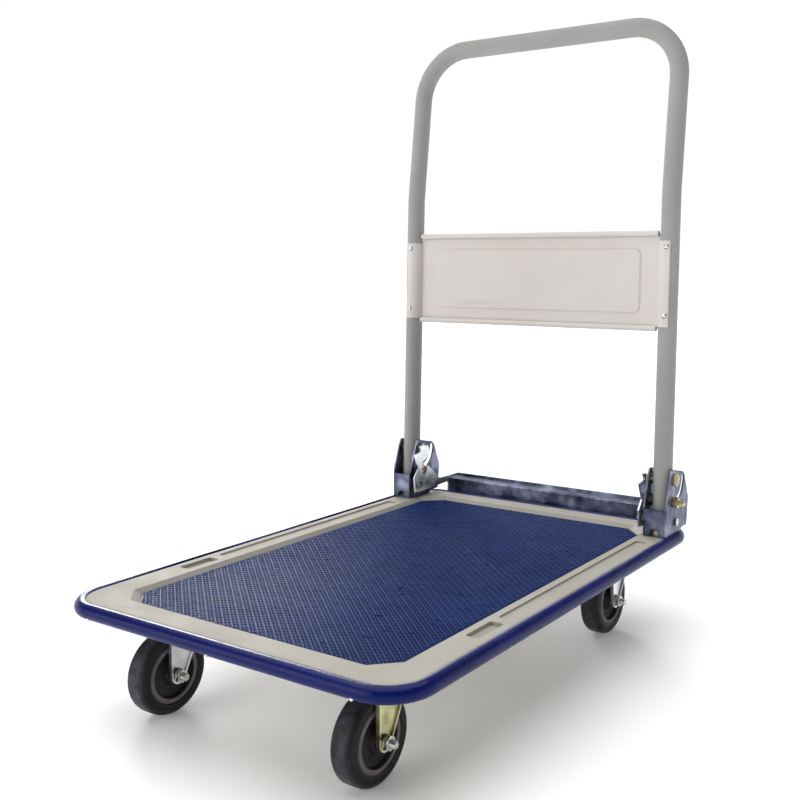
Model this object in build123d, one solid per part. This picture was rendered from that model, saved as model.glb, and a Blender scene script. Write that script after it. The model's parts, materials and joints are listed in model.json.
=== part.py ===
from build123d import *
import math
import os

os.makedirs("parts", exist_ok=True)

# Millimetres. +X is the right-hand side seen from the front, +Y runs to the handle
# end and +Z is up from the floor. Lengths along Y are measured from the middle of the
# deck; every part is moved by FRAME_Y at the end, so that the origin lies on the
# floor under the middle of the whole cart.

# Deck: a pressed sheet with a flat border, a sunk pan and a folded skirt.
DECK_TOP = 129.0
DECK_HALF_X = 226.0
DECK_HALF_Y = 329.0
DECK_CORNER = 44.0
DECK_SHEET = 1.2
DECK_BEND = 8.0
SKIRT_BOTTOM = 113.0
PAN_HALF_X = 186.0
PAN_HALF_Y = 294.0
PAN_CHAMFER = 25.0
PAN_WALL = 6.0
PAN_DEPTH = 6.0
PAN_UNDER = DECK_TOP - PAN_DEPTH - DECK_SHEET
MAT_THICK = 2.0
MAT_GAP = 0.3

# Fields sunk in both side borders: (start, end, depth) along Y.
RECESS_X = 203.0
RECESS_HALF_X = 8.0
RECESS_CORNER = 3.0
RECESSES = ((-184.0, -136.0, 4.0), (-122.0, 222.0, 2.0))

# Bumper: a round PVC strip around the skirt.
BUMPER_R = 8.2
BUMPER_Z = 121.7
BUMPER_RIVET_Z = 116.6
BUMPER_RIVET_R = 1.2
BUMPER_RIVET_HEAD_R = 2.0
BUMPER_RIVET_XS = (-178.0, 0.0, 178.0)

# Casters.
WHEEL_R = 45.0
TYRE_WIDTH = 27.0
TYRE_SHOULDER = 8.0
TYRE_INNER_R = 32.0
AXLE_R = 4.0
AXLE_WASHER_R = 7.3
AXLE_WASHER = 1.5
AXLE_TIP = 13.0
SLEEVE_R = 6.0
RUNNING_GAP = 0.05
FORK_GAP = 30.0
FORK_SHEET = 2.5
FORK_TOE = 9.5
FORK_RIM = 2.0
CASTER_PLATE_TOP = 110.0
CASTER_PLATE = 3.0
CASTER_PLATE_X = 76.0
CASTER_PLATE_Y = 84.0
CASTER_PLATE_CORNER = 8.0
CASTER_BOLT_X = 27.0
CASTER_BOLT_Y = 32.0
CASTER_BOLT_R = 3.0
FIXED_X = 141.0
FIXED_PLATE_Y = -242.0
FIXED_AXLE_Y = -264.0
SWIVEL_X = 150.0
SWIVEL_Y = 245.0
SWIVEL_TRAIL = 25.0
CROWN_TOP = 96.5
CROWN_R = 24.0
CUP_R = 22.0
CUP_BORE = 19.5
CUP_HEIGHT = 9.0
CUP_FLOOR = 2.9
CUP_WELL = 11.0
RACE_R = 19.0
RACE_BORE = 12.0
FIXED_FORK_REACH = 42.0
SWIVEL_FORK_REACH = 43.0
KINGPIN_R = 5.0
KINGPIN_LOW_R = 9.0
KINGPIN_TOP_R = 8.0
BALL_R = 2.5
BALL_COUNT = 14
BALL_CIRCLE = 15.75

# Cross members that carry the casters.
MEMBER_SHEET = 2.0
MEMBER_HALF_X = 190.0
MEMBER_WIDTH = 86.0
RAIL_X = 95.0
RAIL_WIDTH = 30.0
RAIL_SHEET = 1.5

# Handle loop of round tube.
TUBE_R = 12.7
TUBE_WALL = 1.4
HANDLE_X = 208.0
PIVOT_Y = 277.2
PIVOT_Z = 203.0
LOWER_LEAN = 0.035
UPPER_LEAN = 0.125
TAIL_LENGTH = 43.0
KINK_Z = 586.0
TOP_Z = 810.0
KINK_RADIUS = 120.0
CORNER_RADIUS = 72.0
PIVOT_R = 5.0
KEEPER_R = 4.0
KEEPER_DROP = 30.0
SPACER_R = 8.0
FOLD_ANGLE = 92.0

# Hinge brackets: folded plate around the lower end of each handle leg.
BRACKET_SHEET = 2.3
SIDE_GAP = 1.6
BRACKET_FRONT = 250.0
CROSS_PLATE_TOP = 166.0
BRACKET_FOOT = 130.2
FOOT_SHEET = 2.9
FOOT_REAR = 303.0
FOOT_SEAT = 8.0
ARCH_R = 6.0
SLOT_R = 4.3
DECK_BOLT_YS = (264.0, 296.0)
DECK_BOLT_R = 4.0
TIE_Y = 284.5
TIE_Z = 144.9
TIE_R = 3.0
TIE_HEAD_R = 5.0
TIE_HEAD = 2.2

# Lock pedal.
PEDAL_PIVOT_Y = 262.0
PEDAL_PIVOT_Z = 150.0
PEDAL_PIN_R = 4.0
PEDAL_PIN_HEAD_R = 6.0
PEDAL_PIN_HEAD = 2.2
SPRING_WIRE_R = 0.7
SPRING_TURNS = 3
SPRING_PITCH = 1.55
CHEEK_OUTER = 185.9
CHEEK_SHEET = 2.3
BAR_FRONT = 343.0
BAR_REAR = 372.0
BAR_SHEET = 2.0
BAR_BOTTOM = 124.0
BAR_TOP = 147.0
BAR_LIP = 3.0

# Handle panel: heights are measured up from the floor along the legs.
PANEL_SHEET = 1.0
PANEL_LOW = 399.5
PANEL_HIGH = 533.5
PANEL_BEAD_R = 3.8
PANEL_BEAD_END = 2.0
TAB_LOW = 405.5
TAB_HIGH = 519.5
TAB_REACH = 5.2
PANEL_WRAP_GAP = 0.15
EMBOSS_DEPTH = 2.0
EMBOSS_HALF_X = 168.0
EMBOSS_HALF_Z = 44.0
EMBOSS_CORNER = 10.0
EMBOSS_SLOPE = 50.0
PANEL_RIVET_ZS = (420.7, 512.0)
PANEL_RIVET_R = 2.0
PANEL_RIVET_HEAD_R = 3.8

# Widths across flats of the hexagons.
FLATS_M6 = 10.0
FLATS_M8 = 13.0
FLATS_M10 = 15.0

# Worked out from the driving dimensions.
BUMPER_OUT = BUMPER_R - 0.5 * DECK_SHEET
FRONT_MOST = -(DECK_HALF_Y + BUMPER_OUT)
FRAME_Y = -0.5 * (FRONT_MOST + BAR_REAR)
PLATE_IN = TUBE_R + SIDE_GAP
PLATE_OUT = PLATE_IN + BRACKET_SHEET
LEAN = math.atan(LOWER_LEAN)


def cylinder(radius, start, end):
    """A round bar from one point to another."""
    axis = Vector(*end) - Vector(*start)
    plane = Plane(origin=start, z_dir=axis)
    return extrude(plane * Circle(radius), axis.length)


def hexagon(across_flats, start, end):
    """A six-sided bar from one point to another."""
    axis = Vector(*end) - Vector(*start)
    plane = Plane(origin=start, z_dir=axis)
    profile = RegularPolygon(0.5 * across_flats, 6, major_radius=False)
    return extrude(plane * profile, axis.length)


def block(low, high):
    """A box between two corners."""
    size = [b - a for a, b in zip(low, high)]
    middle = [0.5 * (a + b) for a, b in zip(low, high)]
    return Pos(*middle) * Box(*size)


def side_plate(points, x_low, x_high):
    """An outline of (y, z) points made into a plate across X."""
    face = make_face(Plane.YZ * Polyline(*points, close=True))
    return Pos(x_low, 0, 0) * extrude(face, x_high - x_low, dir=(1, 0, 0))


def rounded_slab(half_x, half_y, corner, z_low, z_high):
    """A slab with rounded upright edges, in the middle of the deck."""
    outline = RectangleRounded(2 * half_x, 2 * half_y, corner)
    return Pos(0, 0, z_low) * extrude(outline, z_high - z_low)


def chamfered_outline(half_x, half_y, cut):
    """A rectangle with its four corners cut off."""
    return [
        (half_x - cut, -half_y), (half_x, -half_y + cut),
        (half_x, half_y - cut), (half_x - cut, half_y),
        (-half_x + cut, half_y), (-half_x, half_y - cut),
        (-half_x, -half_y + cut), (-half_x + cut, -half_y),
    ]


def pan_frustum(z_top, z_low, grow):
    """The sunk pan as a solid, wider at the top than at the floor."""
    top = chamfered_outline(PAN_HALF_X + grow, PAN_HALF_Y + grow, PAN_CHAMFER)
    low = chamfered_outline(PAN_HALF_X - PAN_WALL + grow, PAN_HALF_Y - PAN_WALL + grow, PAN_CHAMFER)
    top_face = Pos(0, 0, z_top) * make_face(Polyline(*top, close=True))
    low_face = Pos(0, 0, z_low) * make_face(Polyline(*low, close=True))
    return loft([low_face, top_face], ruled=True)


def deck_block(inset):
    """The deck as a filled block with a rounded top edge."""
    solid = rounded_slab(
        DECK_HALF_X - inset, DECK_HALF_Y - inset, DECK_CORNER - inset,
        SKIRT_BOTTOM, DECK_TOP - inset,
    )
    rim = solid.faces().sort_by(Axis.Z)[-1].edges()
    return fillet(rim, DECK_BEND - inset)


def border_recess(side, y_low, y_high, depth):
    """A sunk field in one side border, with its own thin floor below it."""
    low = (side * RECESS_X - RECESS_HALF_X, y_low)
    high = (side * RECESS_X + RECESS_HALF_X, y_high)
    hollow = block((*low, DECK_TOP - depth), (*high, DECK_TOP + 1))
    shell = block(
        (low[0] - DECK_SHEET, low[1] - DECK_SHEET, DECK_TOP - depth - DECK_SHEET),
        (high[0] + DECK_SHEET, high[1] + DECK_SHEET, DECK_TOP - 0.5 * DECK_SHEET),
    )
    return (
        fillet(hollow.edges().filter_by(Axis.Z), RECESS_CORNER),
        fillet(shell.edges().filter_by(Axis.Z), RECESS_CORNER + DECK_SHEET),
    )


def deck_plate():
    sheet = deck_block(0) - Pos(0, 0, -1) * rounded_slab(
        DECK_HALF_X - DECK_SHEET, DECK_HALF_Y - DECK_SHEET, DECK_CORNER - DECK_SHEET,
        SKIRT_BOTTOM, SKIRT_BOTTOM + 1,
    ) - deck_block(DECK_SHEET)
    sheet += pan_frustum(DECK_TOP - 0.5 * DECK_SHEET, PAN_UNDER, DECK_SHEET)
    for side in (-1, 1):
        for start, end, depth in RECESSES:
            hollow, shell = border_recess(side, start, end, depth)
            sheet = sheet + shell - hollow
    sheet -= pan_frustum(DECK_TOP + 1e-3, DECK_TOP - PAN_DEPTH, 0)
    for rivet in bumper_rivets():
        sheet -= rivet
    for side in (-1, 1):
        for y in DECK_BOLT_YS:
            x = side * HANDLE_X
            sheet -= cylinder(DECK_BOLT_R, (x, y, DECK_TOP - 10), (x, y, DECK_TOP + 5))
    return sheet


def deck_mat():
    inset = PAN_WALL + MAT_GAP
    outline = chamfered_outline(PAN_HALF_X - inset, PAN_HALF_Y - inset, PAN_CHAMFER)
    floor = DECK_TOP - PAN_DEPTH
    return Pos(0, 0, floor) * extrude(make_face(Polyline(*outline, close=True)), MAT_THICK)


def edge_bumper():
    x = DECK_HALF_X - 0.5 * DECK_SHEET
    y = DECK_HALF_Y - 0.5 * DECK_SHEET
    outline = RectangleRounded(2 * x, 2 * y, DECK_CORNER - 0.5 * DECK_SHEET)
    route = Pos(0, 0, BUMPER_Z) * outline.wire()
    start = route @ 0
    section = Plane(origin=start, z_dir=route % 0) * Circle(BUMPER_R)
    ring = sweep(section, path=route)
    ring -= deck_block(0)
    for rivet in bumper_rivets():
        ring -= rivet
    return ring


def rivet_places():
    """Where the bumper rivets go, along both ends: (x, y, outward y)."""
    return [(x, side * DECK_HALF_Y, side) for side in (-1, 1) for x in BUMPER_RIVET_XS]


def bumper_rivets():
    reach = math.sqrt(BUMPER_R ** 2 - (BUMPER_Z - BUMPER_RIVET_Z) ** 2) - 0.5 * DECK_SHEET
    rivets = []
    for x, y, way in rivet_places():
        def at(distance):
            return (x, y + way * distance, BUMPER_RIVET_Z)
        shank = cylinder(BUMPER_RIVET_R, at(-2.6), at(reach + 0.2))
        head = cylinder(BUMPER_RIVET_HEAD_R, at(reach - 1.4), at(reach + 0.4))
        rivets.append(shank + head)
    return rivets


def caster_bolt_places():
    """The four bolts of each caster plate."""
    places = []
    for x, y in ((FIXED_X, FIXED_PLATE_Y), (SWIVEL_X, SWIVEL_Y)):
        for side in (-1, 1):
            for dx in (-CASTER_BOLT_X, CASTER_BOLT_X):
                for dy in (-CASTER_BOLT_Y, CASTER_BOLT_Y):
                    places.append((side * x + dx, y + dy))
    return places


def cross_member(middle_y, with_kingpins):
    """A channel across the deck, open at the top, that the caster plates bolt to."""
    low_y = middle_y - 0.5 * MEMBER_WIDTH
    high_y = middle_y + 0.5 * MEMBER_WIDTH
    z = CASTER_PLATE_TOP
    outer = block((-MEMBER_HALF_X, low_y, z), (MEMBER_HALF_X, high_y, PAN_UNDER))
    inner = block(
        (-MEMBER_HALF_X - 1, low_y + MEMBER_SHEET, z + MEMBER_SHEET),
        (MEMBER_HALF_X + 1, high_y - MEMBER_SHEET, PAN_UNDER + 1),
    )
    bends = outer.edges().filter_by(Axis.X).group_by(Axis.Z)[0]
    channel = fillet(bends, 3.0) - inner
    for x, y in caster_bolt_places():
        if low_y < y < high_y:
            channel -= cylinder(CASTER_BOLT_R, (x, y, z - 1), (x, y, z + 5))
    if with_kingpins:
        for side in (-1, 1):
            x = side * SWIVEL_X
            hole = KINGPIN_TOP_R + 3.0
            channel -= cylinder(hole, (x, SWIVEL_Y, z - 1), (x, SWIVEL_Y, z + 5))
    return channel


def side_rails():
    """Two channels along the deck between the cross members."""
    low_y = FIXED_PLATE_Y + 0.5 * MEMBER_WIDTH
    high_y = SWIVEL_Y - 0.5 * MEMBER_WIDTH
    half = 0.5 * RAIL_WIDTH
    rails = []
    for side in (-1, 1):
        x = side * RAIL_X
        outer = block((x - half, low_y, CASTER_PLATE_TOP), (x + half, high_y, PAN_UNDER))
        inner = block(
            (x - half + RAIL_SHEET, low_y - 1, CASTER_PLATE_TOP + RAIL_SHEET),
            (x + half - RAIL_SHEET, high_y + 1, PAN_UNDER + 1),
        )
        rails.append(outer - inner)
    return rails


def caster_plate(x, y):
    outline = RectangleRounded(CASTER_PLATE_X, CASTER_PLATE_Y, CASTER_PLATE_CORNER)
    plate = Pos(x, y, CASTER_PLATE_TOP - CASTER_PLATE) * extrude(outline, CASTER_PLATE)
    for dx in (-CASTER_BOLT_X, CASTER_BOLT_X):
        for dy in (-CASTER_BOLT_Y, CASTER_BOLT_Y):
            place = (x + dx, y + dy)
            start = (*place, CASTER_PLATE_TOP - 5)
            plate -= cylinder(CASTER_BOLT_R, start, (*place, CASTER_PLATE_TOP + 1))
    return plate


def fork_legs(x, axle_y, top_z, top_reach):
    """Two flanged legs: upright front edge, sloping rear edge and a round toe."""
    rise = top_z - WHEEL_R
    tip_angle = math.atan2(rise, top_reach)
    touch = tip_angle - math.acos(FORK_TOE / math.hypot(rise, top_reach))
    front_top = (axle_y - FORK_TOE, top_z)
    front_low = (axle_y - FORK_TOE, WHEEL_R)
    toe = (axle_y, WHEEL_R - FORK_TOE)
    rear_low = (axle_y + FORK_TOE * math.cos(touch), WHEEL_R + FORK_TOE * math.sin(touch))
    rear_top = (axle_y + top_reach, top_z)
    outline = make_face([
        Line(front_top, front_low),
        ThreePointArc(front_low, toe, rear_low),
        Line(rear_low, rear_top),
        Line(rear_top, front_top),
    ])
    field = offset(outline, -FORK_RIM)
    above = Pos(0, top_z) * Rectangle(400, 2 * FORK_RIM + 0.2)
    rim = outline - field - Pos(axle_y, 0) * above
    legs = []
    inner_x = 0.5 * FORK_GAP
    for side in (-1, 1):
        start = inner_x if side > 0 else -inner_x - FORK_SHEET
        leg = Pos(x + start, 0, 0) * extrude(Plane.YZ * outline, FORK_SHEET, dir=(1, 0, 0))
        edge_start = inner_x + FORK_SHEET if side > 0 else -inner_x - FORK_SHEET - FORK_RIM
        edge = Pos(x + edge_start, 0, 0) * extrude(Plane.YZ * rim, FORK_RIM, dir=(1, 0, 0))
        hole = cylinder(AXLE_R, (x - 60, axle_y, WHEEL_R), (x + 60, axle_y, WHEEL_R))
        legs.append(leg + edge - hole)
    return legs


def fixed_fork(side):
    x = side * FIXED_X
    fork = caster_plate(x, FIXED_PLATE_Y)
    top = CASTER_PLATE_TOP - CASTER_PLATE
    for leg in fork_legs(x, FIXED_AXLE_Y, top, FIXED_FORK_REACH):
        fork += leg
    return fork


def swivel_plate(side):
    """The plate bolted under the deck, with the upper ball race pressed into it."""
    x = side * SWIVEL_X
    low = CASTER_PLATE_TOP - CASTER_PLATE
    race_low = CROWN_TOP + CUP_FLOOR + 2 * (BALL_R + RUNNING_GAP)
    plate = caster_plate(x, SWIVEL_Y)
    plate += cylinder(RACE_R, (x, SWIVEL_Y, race_low), (x, SWIVEL_Y, low + 0.5))
    plate -= cylinder(RACE_BORE, (x, SWIVEL_Y, race_low - 1), (x, SWIVEL_Y, low))
    plate -= cylinder(KINGPIN_R, (x, SWIVEL_Y, low - 1), (x, SWIVEL_Y, low + 5))
    return plate


def swivel_kingpins():
    pins = []
    for side in (-1, 1):
        x = side * SWIVEL_X
        under = CROWN_TOP - FORK_SHEET - RUNNING_GAP
        top = CASTER_PLATE_TOP
        pin = cylinder(KINGPIN_R, (x, SWIVEL_Y, under - 2.0), (x, SWIVEL_Y, top + 0.5))
        pin += cylinder(KINGPIN_LOW_R, (x, SWIVEL_Y, under - 2.5), (x, SWIVEL_Y, under))
        pin += cylinder(KINGPIN_TOP_R, (x, SWIVEL_Y, top), (x, SWIVEL_Y, top + 1.8))
        pins.append(pin)
    return pins


def swivel_balls():
    balls = []
    z = CROWN_TOP + CUP_FLOOR + BALL_R + RUNNING_GAP
    for side in (-1, 1):
        for i in range(BALL_COUNT):
            angle = 2 * math.pi * i / BALL_COUNT
            x = side * SWIVEL_X + BALL_CIRCLE * math.cos(angle)
            y = SWIVEL_Y + BALL_CIRCLE * math.sin(angle)
            balls.append(Pos(x, y, z) * Sphere(BALL_R))
    return balls


def swivel_fork(side):
    """The fork that turns under the plate: crown, ball cup and two legs."""
    x = side * SWIVEL_X
    axle_y = SWIVEL_Y - SWIVEL_TRAIL
    half = 0.5 * FORK_GAP + FORK_SHEET
    low = CROWN_TOP - FORK_SHEET
    cup_floor = CROWN_TOP + CUP_FLOOR
    cup_top = CROWN_TOP + CUP_HEIGHT
    rear = axle_y + SWIVEL_FORK_REACH
    fork = block((x - half, axle_y - FORK_TOE, low), (x + half, rear, CROWN_TOP))
    fork += cylinder(CROWN_R, (x, SWIVEL_Y, low), (x, SWIVEL_Y, CROWN_TOP))
    for leg in fork_legs(x, axle_y, CROWN_TOP, SWIVEL_FORK_REACH):
        fork += leg
    fork += cylinder(CUP_R, (x, SWIVEL_Y, CROWN_TOP - 0.5), (x, SWIVEL_Y, cup_top))
    fork -= cylinder(CUP_BORE, (x, SWIVEL_Y, cup_floor), (x, SWIVEL_Y, cup_top + 1.0))
    fork -= cylinder(CUP_WELL, (x, SWIVEL_Y, CROWN_TOP), (x, SWIVEL_Y, cup_floor + 1.0))
    bore = KINGPIN_R + RUNNING_GAP
    return fork - cylinder(bore, (x, SWIVEL_Y, low - 1), (x, SWIVEL_Y, CROWN_TOP + 1))


def axle_bolt(x, y):
    half = 0.5 * FORK_GAP + FORK_SHEET + AXLE_WASHER
    bolt = cylinder(AXLE_R, (x - half - 1.5, y, WHEEL_R), (x + half + AXLE_TIP, y, WHEEL_R))
    bolt += hexagon(FLATS_M8, (x - half - 5.3, y, WHEEL_R), (x - half, y, WHEEL_R))
    tip = bolt.edges().filter_by(GeomType.CIRCLE).sort_by(Axis.X)[-1]
    return chamfer(tip, 0.8)


def axle_nut(x, y):
    start = x + 0.5 * FORK_GAP + FORK_SHEET + AXLE_WASHER
    nut = hexagon(FLATS_M8, (start, y, WHEEL_R), (start + 6.5, y, WHEEL_R))
    return nut - cylinder(AXLE_R, (start - 1, y, WHEEL_R), (start + 9, y, WHEEL_R))


def axle_washers(x, y):
    washers = []
    half = 0.5 * FORK_GAP + FORK_SHEET
    for start in (x + half, x - half - AXLE_WASHER):
        washer = cylinder(AXLE_WASHER_R, (start, y, WHEEL_R), (start + AXLE_WASHER, y, WHEEL_R))
        washers.append(washer - cylinder(AXLE_R, (start - 1, y, WHEEL_R), (start + 3, y, WHEEL_R)))
    return washers


def axle_sleeve(x, y):
    half = 0.5 * FORK_GAP
    sleeve = cylinder(SLEEVE_R, (x - half, y, WHEEL_R), (x + half, y, WHEEL_R))
    return sleeve - cylinder(AXLE_R, (x - half - 1, y, WHEEL_R), (x + half + 1, y, WHEEL_R))


def turned(points, x, y):
    """A body turned about the wheel axle from (along, radius) points."""
    face = make_face(Polyline(*points, close=True))
    return Pos(x, y, WHEEL_R) * revolve(face, Axis.X, 360)


def tyre(x, y):
    half = 0.5 * TYRE_WIDTH
    crown = make_face(Polyline(
        (-half, TYRE_INNER_R), (half, TYRE_INNER_R), (half, WHEEL_R), (-half, WHEEL_R), close=True,
    ))
    shoulders = crown.vertices().group_by(Axis.Y)[-1]
    return Pos(x, y, WHEEL_R) * revolve(fillet(shoulders, TYRE_SHOULDER), Axis.X, 360)


def wheel_hub(x, y):
    """A moulded centre: rim, dished disc with a raised ring, and a plain bore."""
    bore = SLEEVE_R + RUNNING_GAP
    right = [
        (13.9, bore), (13.9, 11.0), (7.0, 13.5), (6.0, 24.5),
        (12.6, 27.0), (12.9, 29.0), (12.6, 31.0), (12.0, TYRE_INNER_R),
    ]
    left = [(-along, radius) for along, radius in reversed(right)]
    return turned(right + left, x, y)


def bracket_profile():
    """Outline of a bracket side plate, as (y, z) points."""
    return [
        (BRACKET_FRONT, BRACKET_FOOT), (300.0, BRACKET_FOOT), (306.0, 133.5), (323.5, 133.5),
        (328.0, 171.0), (313.5, 205.0), (308.0, 210.0), (296.0, 212.5), (276.0, 217.0),
        (268.5, 217.0), (BRACKET_FRONT, CROSS_PLATE_TOP),
    ]


def leg_point(distance):
    """Point (y, z) on the handle leg, measured up from the pivot."""
    return (
        PIVOT_Y + distance * math.sin(LEAN),
        PIVOT_Z + distance * math.cos(LEAN),
    )


def keeper_slot(x_low, x_high):
    """The curved slot that the keeper bolt runs in as the handle folds."""
    start = -90.0 - math.degrees(LEAN)
    end = start + FOLD_ANGLE
    ring = Circle(KEEPER_DROP + SLOT_R) - Circle(KEEPER_DROP - SLOT_R)
    reach = 3 * KEEPER_DROP
    corners = [(0, 0)]
    for i in range(5):
        angle = math.radians(start + (end - start) * i / 4)
        corners.append((reach * math.cos(angle), reach * math.sin(angle)))
    slot = ring & make_face(Polyline(*corners, close=True))
    for degrees in (start, end):
        angle = math.radians(degrees)
        slot += Pos(KEEPER_DROP * math.cos(angle), KEEPER_DROP * math.sin(angle)) * Circle(SLOT_R)
    placed = Plane.YZ * Pos(PIVOT_Y, PIVOT_Z) * slot
    return Pos(x_low, 0, 0) * extrude(placed, x_high - x_low, dir=(1, 0, 0))


def hinge_bracket(side):
    """Two side plates, a front cross plate and a foot, folded from one blank."""
    x = side * HANDLE_X
    solid = side_plate(bracket_profile(), x - PLATE_OUT, x + PLATE_OUT)
    upright = solid.edges().filter_by(Axis.Z).group_by(Axis.Y)[0]
    solid = fillet(upright, 3.0)
    hollow = block(
        (x - PLATE_IN, BRACKET_FRONT + BRACKET_SHEET, BRACKET_FOOT - 5),
        (x + PLATE_IN, 400.0, 300.0),
    )
    above = block((x - PLATE_IN, 200.0, CROSS_PLATE_TOP), (x + PLATE_IN, 400.0, 300.0))
    near, far = BRACKET_FRONT - 10, BRACKET_FRONT + 5
    arch = cylinder(ARCH_R, (x, near, BRACKET_FOOT + 4), (x, far, BRACKET_FOOT + 4))
    arch += block((x - ARCH_R, near, BRACKET_FOOT - 5), (x + ARCH_R, far, BRACKET_FOOT + 4))
    foot = block(
        (x - PLATE_IN, BRACKET_FRONT + BRACKET_SHEET, BRACKET_FOOT),
        (x + PLATE_IN, FOOT_REAR, DECK_TOP + FOOT_SHEET),
    )
    seat_edges = sorted((x - side * (PLATE_IN - 2.5), x + side * FOOT_SEAT))
    foot += block(
        (seat_edges[0], BRACKET_FRONT + BRACKET_SHEET, DECK_TOP),
        (seat_edges[1], FOOT_REAR, DECK_TOP + FOOT_SHEET),
    )
    inner_lip = block(
        (x - PLATE_OUT if side > 0 else x + PLATE_IN, BRACKET_FRONT + 3, DECK_TOP),
        (x - PLATE_IN if side > 0 else x + PLATE_OUT, 300.0, BRACKET_FOOT),
    )
    bracket = solid - hollow - above - arch + foot + inner_lip
    bracket -= cylinder(PIVOT_R, (x - 30, PIVOT_Y, PIVOT_Z), (x + 30, PIVOT_Y, PIVOT_Z))
    bracket -= cylinder(TIE_R, (x - 30, TIE_Y, TIE_Z), (x + 30, TIE_Y, TIE_Z))
    inboard = sorted((x, x - side * 30))
    bracket -= cylinder(
        PEDAL_PIN_R, (inboard[0], PEDAL_PIVOT_Y, PEDAL_PIVOT_Z),
        (inboard[1], PEDAL_PIVOT_Y, PEDAL_PIVOT_Z),
    )
    bracket -= keeper_slot(x - 30, x + 30)
    for y in DECK_BOLT_YS:
        bracket -= cylinder(DECK_BOLT_R, (x, y, DECK_TOP - 2), (x, y, DECK_TOP + 6))
    return bracket


def through_bolts(radius, flats, place, head, tip, nut, gap):
    """Bolts across both brackets at (y, z), head inboard and nut outboard."""
    y, z = place
    bolts = []
    nuts = []
    for side in (-1, 1):
        x = side * HANDLE_X
        inner = x - side * (PLATE_OUT + gap)
        outer = x + side * (PLATE_OUT + gap)
        bolt = cylinder(radius, (inner, y, z), (outer + side * tip, y, z))
        bolts.append(bolt + hexagon(flats, (inner - side * head, y, z), (inner, y, z)))
        ring = hexagon(flats, (outer, y, z), (outer + side * nut, y, z))
        nuts.append(ring - cylinder(radius, (outer - side, y, z), (outer + side * (nut + 1), y, z)))
    return bolts, nuts


def bracket_tie_rivets():
    rivets = []
    for side in (-1, 1):
        x = side * HANDLE_X
        low = x - PLATE_OUT
        high = x + PLATE_OUT
        rivet = cylinder(TIE_R, (low - 1, TIE_Y, TIE_Z), (high + 1, TIE_Y, TIE_Z))
        rivet += cylinder(TIE_HEAD_R, (low - TIE_HEAD, TIE_Y, TIE_Z), (low, TIE_Y, TIE_Z))
        rivet += cylinder(TIE_HEAD_R, (high, TIE_Y, TIE_Z), (high + TIE_HEAD, TIE_Y, TIE_Z))
        rivets.append(rivet)
    return rivets


def deck_bolts():
    bolts = []
    nuts = []
    seat = DECK_TOP + FOOT_SHEET
    under = DECK_TOP - DECK_SHEET
    for side in (-1, 1):
        for y in DECK_BOLT_YS:
            x = side * HANDLE_X
            bolt = cylinder(DECK_BOLT_R, (x, y, under - 9.0), (x, y, seat + 1.0))
            bolts.append(bolt + hexagon(FLATS_M8, (x, y, seat), (x, y, seat + 5.3)))
            nut = hexagon(FLATS_M8, (x, y, under - 6.5), (x, y, under))
            nuts.append(nut - cylinder(DECK_BOLT_R, (x, y, under - 8), (x, y, under + 1)))
    return bolts, nuts


def pedal_pivot_pins():
    """Shouldered pins that hang the pedal between the brackets."""
    pins = []
    for side in (-1, 1):
        start = side * (HANDLE_X - PLATE_IN + PEDAL_PIN_HEAD)
        end = side * (CHEEK_OUTER - CHEEK_SHEET - 2.6)
        at = (PEDAL_PIVOT_Y, PEDAL_PIVOT_Z)
        pin = cylinder(PEDAL_PIN_R, (start, *at), (end, *at))
        pin += cylinder(PEDAL_PIN_HEAD_R, (start, *at), (start - side * PEDAL_PIN_HEAD, *at))
        pin += cylinder(PEDAL_PIN_HEAD_R, (end, *at), (end + side * PEDAL_PIN_HEAD, *at))
        pins.append(pin)
    return pins


def handle_route():
    """Centre line of the handle loop, from one tail to the other."""
    tail_y, tail_z = leg_point(-TAIL_LENGTH)
    kink_y = PIVOT_Y + (KINK_Z - PIVOT_Z) * LOWER_LEAN
    top_y = kink_y + (TOP_Z - KINK_Z) * UPPER_LEAN
    right = [(HANDLE_X, tail_y, tail_z), (HANDLE_X, kink_y, KINK_Z), (HANDLE_X, top_y, TOP_Z)]
    left = [(-x, y, z) for x, y, z in reversed(right)]
    radii = [KINK_RADIUS, CORNER_RADIUS, CORNER_RADIUS, KINK_RADIUS]
    return FilletPolyline(*right, *left, radius=radii)


def handle_tube():
    route = handle_route()
    start = Plane(origin=route @ 0, z_dir=route % 0)
    tube = sweep(start * Circle(TUBE_R), path=route)
    tube -= sweep(start * Circle(TUBE_R - TUBE_WALL), path=route)
    keeper_y, keeper_z = leg_point(-KEEPER_DROP)
    bore = PIVOT_R + RUNNING_GAP
    for side in (-1, 1):
        low = side * HANDLE_X - 20
        high = side * HANDLE_X + 20
        tube -= cylinder(bore, (low, PIVOT_Y, PIVOT_Z), (high, PIVOT_Y, PIVOT_Z))
        tube -= cylinder(KEEPER_R, (low, keeper_y, keeper_z), (high, keeper_y, keeper_z))
    for x, z in panel_rivet_places():
        y, lean_z = leg_point(z - PIVOT_Z)
        tube -= cylinder(PANEL_RIVET_R, *across_leg(x, y, lean_z, -TUBE_R - 4, -TUBE_R + 4))
    return tube


def across_leg(x, y, z, start, end):
    """Two points on a line square to the leg, measured rearwards from its centre."""
    return tuple(
        (x, y + reach * math.cos(LEAN), z - reach * math.sin(LEAN)) for reach in (start, end)
    )


def panel_rivet_places():
    return [(side * HANDLE_X, z) for side in (-1, 1) for z in PANEL_RIVET_ZS]


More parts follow.
